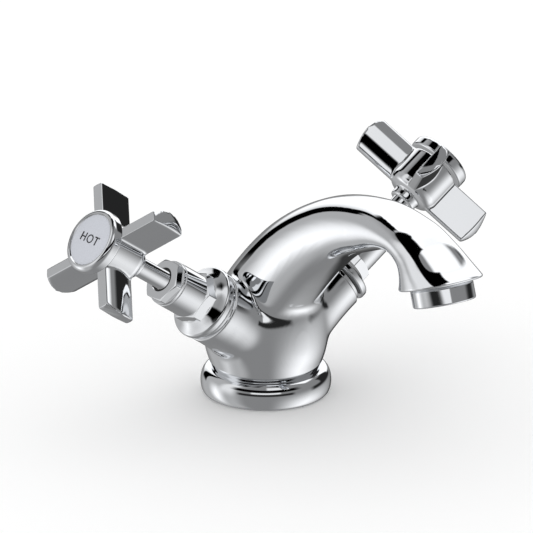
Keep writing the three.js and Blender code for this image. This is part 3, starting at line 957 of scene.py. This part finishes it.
def studio_dome():
    """A dome of soft boxes and flags that only reflections see."""
    bm = bmesh.new()
    bmesh.ops.create_uvsphere(bm, u_segments=48, v_segments=32, radius=DOME_RADIUS)
    dome = as_object(bm, "studio_dome")
    dome.data.shade_smooth()
    material = bpy.data.materials.new("softbox fabric")
    material.use_nodes = True
    tree = material.node_tree
    tree.nodes.clear()
    place = add_node(tree, "ShaderNodeTexCoord").outputs["Object"]
    unit = add_node(
        tree, "ShaderNodeVectorMath", settings={"operation": "NORMALIZE"}, links={0: place})
    axes = add_node(tree, "ShaderNodeSeparateXYZ", links={"Vector": unit.outputs["Vector"]})
    # The dome is turned so that its own -Y faces the camera's side.
    toward = add_node(
        tree, "ShaderNodeMath", settings={"operation": "MULTIPLY"}, values={1: -1.0},
        links={0: axes.outputs["Y"]})
    azimuth = add_node(
        tree, "ShaderNodeMath", settings={"operation": "ARCTAN2"},
        links={0: axes.outputs["X"], 1: toward.outputs[0]})
    height = add_node(
        tree, "ShaderNodeMath", settings={"operation": "ARCSINE"}, links={0: axes.outputs["Z"]})
    azimuth, height = (
        add_node(tree, "ShaderNodeMath", settings={"operation": "DEGREES"}, links={0: node.outputs[0]})
        for node in (azimuth, height))
    level = add_node(tree, "ShaderNodeValue").outputs[0]
    level.default_value = ROOM_BRIGHTNESS
    for name, across, up, half_width, half_height, soft_across, soft_up, brightness in PANELS:
        share = add_node(
            tree, "ShaderNodeMath", settings={"operation": "MULTIPLY", "label": name}, links={
                0: inside(tree, azimuth.outputs[0], across, half_width, soft_across),
                1: inside(tree, height.outputs[0], up, half_height, soft_up),
            })
        level = add_node(
            tree, "ShaderNodeMix", values={"B": brightness},
            links={"Factor": share.outputs[0], "A": level}).outputs["Result"]
    glow = add_node(tree, "ShaderNodeEmission", links={"Strength": level})
    add_node(tree, "ShaderNodeOutputMaterial", links={"Surface": glow.outputs["Emission"]})
    dome.data.materials.append(material)
    dome.rotation_euler.z = -CAMERA_TURN
    dome.visible_camera = False
    dome.visible_diffuse = False


def studio_floor(context):
    bm = bmesh.new()
    bmesh.ops.create_circle(bm, cap_ends=True, segments=96, radius=FLOOR_RADIUS)
    floor = as_object(bm, "studio_floor")
    material, tree, shader, place = surface("matt paper", {"Roughness": 0.9, "Specular IOR Level": 0.1})
    tone = Vector(context.scene.mixer_finishes.floor)
    share = vary(tree, place, 0.4, 0.0, 1.0)
    tint(tree, shader, share, (*tone, 1.0), (*(tone * 0.99), 1.0))
    floor.data.materials.append(material)
    floor.location.z = DECK_Z - FLOOR_GAP
    floor.visible_glossy = False


def studio_camera():
    """The camera: a long lens from the hot side's front, a little above."""
    turn, rise = CAMERA_TURN, CAMERA_RISE
    back = Vector((
        -math.sin(turn) * math.cos(rise), -math.cos(turn) * math.cos(rise), math.sin(rise),
    ))
    right = Vector((math.cos(turn), -math.sin(turn), 0.0))
    up = back.cross(right)
    target = CAMERA_TARGET + right * CAMERA_ASIDE - up * CAMERA_DROP
    data = bpy.data.cameras.new("camera")
    data.lens = CAMERA_LENS
    data.sensor_width = 36.0
    data.clip_end = 20.0
    camera = bpy.data.objects.new("camera", data)
    axes = Matrix((right, up, back)).transposed().to_4x4()
    camera.matrix_world = Matrix.Translation(target + back * CAMERA_DISTANCE) @ axes
    bpy.context.scene.collection.objects.link(camera)
    bpy.context.scene.camera = camera


class MIXER_OT_stage(Operator):
    """Set up the studio: camera, bright dome, floor and world"""
    bl_idname = "mixer.stage"
    bl_label = "Studio"

    def execute(self, context):
        studio_camera()
        studio_dome()
        studio_floor(context)
        world = bpy.data.worlds.new("white room")
        context.scene.world = world
        world.use_nodes = True
        backdrop = world.node_tree.nodes["Background"]
        backdrop.inputs["Color"].default_value = (1, 1, 1, 1)
        backdrop.inputs["Strength"].default_value = WORLD_BRIGHTNESS
        context.scene.view_settings.view_transform = "Standard"
        return {"FINISHED"}


# ---------------------------------------------------------------- add-on


class MIXER_PT_panel(Panel):
    """Buttons and settings of the mixer"""
    bl_idname = "MIXER_PT_panel"
    bl_label = "Basin Mixer"
    bl_space_type = "VIEW_3D"
    bl_region_type = "UI"
    bl_category = "Mixer"

    def draw(self, context):
        layout = self.layout
        for operator in OPERATORS:
            layout.operator(operator.bl_idname)
        for group in (context.scene.mixer_sizes, context.scene.mixer_finishes):
            box = layout.box()
            for name in group.__annotations__:
                box.prop(group, name)


OPERATORS = (
    MIXER_OT_stage, MIXER_OT_body, MIXER_OT_base, MIXER_OT_bonnets, MIXER_OT_glands,
    MIXER_OT_stems, MIXER_OT_handles, MIXER_OT_caps, MIXER_OT_nozzle, MIXER_OT_inner,
)
CLASSES = (MixerSizes, MixerFinishes, *OPERATORS, MIXER_PT_panel)


def register():
    for cls in CLASSES:
        bpy.utils.register_class(cls)
    bpy.types.Scene.mixer_sizes = PointerProperty(type=MixerSizes)
    bpy.types.Scene.mixer_finishes = PointerProperty(type=MixerFinishes)


def unregister():
    del bpy.types.Scene.mixer_finishes
    del bpy.types.Scene.mixer_sizes
    for cls in reversed(CLASSES):
        bpy.utils.unregister_class(cls)


def main():
    register()
    bpy.ops.mixer.stage()
    bpy.ops.mixer.body()
    bpy.ops.mixer.base()
    bpy.ops.mixer.bonnets()
    bpy.ops.mixer.glands()
    bpy.ops.mixer.stems()
    bpy.ops.mixer.handles()
    bpy.ops.mixer.caps()
    bpy.ops.mixer.nozzle()
    bpy.ops.mixer.inner()


if __name__ == "__main__":
    main()
